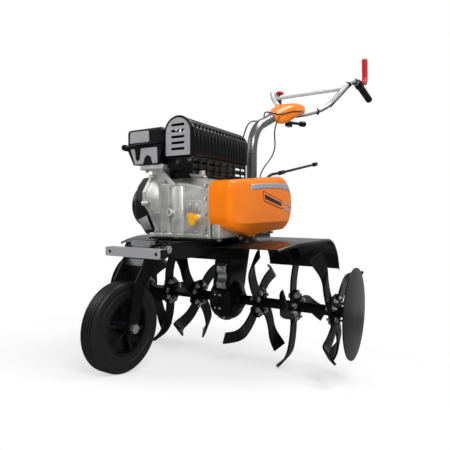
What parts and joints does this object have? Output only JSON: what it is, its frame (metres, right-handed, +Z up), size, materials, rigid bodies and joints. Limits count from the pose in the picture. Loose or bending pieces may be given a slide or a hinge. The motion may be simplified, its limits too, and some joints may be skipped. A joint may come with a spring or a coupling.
{
  "type": "rotary tiller",
  "caption": "Walk-behind petrol rotary tiller with front transport wheel, central gearbox, curved tines on a cross shaft, end discs and adjustable handlebar.",
  "frame": {"origin": "on the floor under the middle of the machine's box, as it stands parked on its tines and front wheel", "axes": "+X forward towards the front wheel, +Y to the machine's left, where the belt cover is, +Z up"},
  "size_m": [1.4056, 0.842, 1.3973],
  "materials": {
    "orange_paint": "gloss",
    "black_paint": "gloss",
    "cast_aluminium": "satin",
    "black_plastic": "satin",
    "tyre_rubber": "satin",
    "column_grey": "gloss",
    "tube_grey": "gloss",
    "red_plastic": "gloss",
    "yellow_plastic": "gloss",
    "zinc_steel": "satin",
    "silver_paint": "satin",
    "fender_grey": "gloss",
    "grip_rubber": "matte",
    "heat_steel": "satin"
  },
  "bodies": {
    "chassis": {"frame": "black_paint", "fork_pivot_bolt": "zinc_steel", "hitch_block": "black_paint", "gearbox": "black_paint", "gearbox_mounts": "black_paint", "gearbox_bracket": "zinc_steel", "engine_block": "cast_aluminium", "blower_housing": "black_plastic", "recoil_starter": "black_plastic", "cylinder": "cast_aluminium", "dipstick": "yellow_plastic", "muffler_guard": "black_paint", "guard_front_panel": "silver_paint", "muffler_skirt": "black_paint", "muffler": "heat_steel", "air_cleaner": "black_plastic", "intake_bracket": "cast_aluminium", "fuel_tank": "black_plastic", "tank_bracket": "black_paint", "belt_cover": "orange_paint", "belt_backplate": "black_paint", "fender_left": "fender_grey", "fender_right": "fender_grey", "column": "column_grey", "console": "orange_paint", "gear_lever": "black_paint"},
    "wheel_fork": {"wheel_fork": "black_paint", "fork_bridge": "zinc_steel", "fork_latch": "zinc_steel", "wheel_axle": "zinc_steel", "lifting_bar": "silver_paint"},
    "front_wheel": {"wheel_tyre": "tyre_rubber", "wheel_hub": "black_plastic"},
    "tine_reel": {"tine_shaft": "black_paint", "tine_set_left_1": "black_paint", "tine_set_left_2": "black_paint", "tine_set_left_3": "black_paint", "side_disc_left": "black_paint", "tine_set_right_1": "black_paint", "tine_set_right_2": "black_paint", "tine_set_right_3": "black_paint", "side_disc_right": "black_paint"},
    "handlebar": {"handle_clamp": "black_paint", "lock_knob": "black_plastic", "handle_tube_left": "tube_grey", "grip_left": "grip_rubber", "handle_tube_right": "tube_grey", "grip_right": "grip_rubber", "handle_crossbar": "tube_grey", "lever_collar_left": "black_plastic", "lever_collar_right": "black_plastic", "clutch_lever": "red_plastic", "stop_knob": "red_plastic"}
  },
  "joints": [
    {"name": "fork_fold", "type": "hinge", "parent": "chassis", "child": "wheel_fork", "pos_m": [0.54499, 0, 0.2929], "axis": [0, -1, 0], "range_deg": [0, 75]},
    {"name": "wheel_spin", "type": "hinge", "parent": "wheel_fork", "child": "front_wheel", "pos_m": [0.59881, 0, 0.104], "axis": [0, 1, 0], "continuous": true},
    {"name": "reel_spin", "type": "hinge", "parent": "chassis", "child": "tine_reel", "pos_m": [0.11698, 0, 0.185], "axis": [0, 1, 0], "continuous": true},
    {"name": "handlebar_tilt", "type": "hinge", "parent": "chassis", "child": "handlebar", "pos_m": [-0.16322, 0, 0.96197], "axis": [0, 1, 0], "range_deg": [-10, 5]}
  ]
}
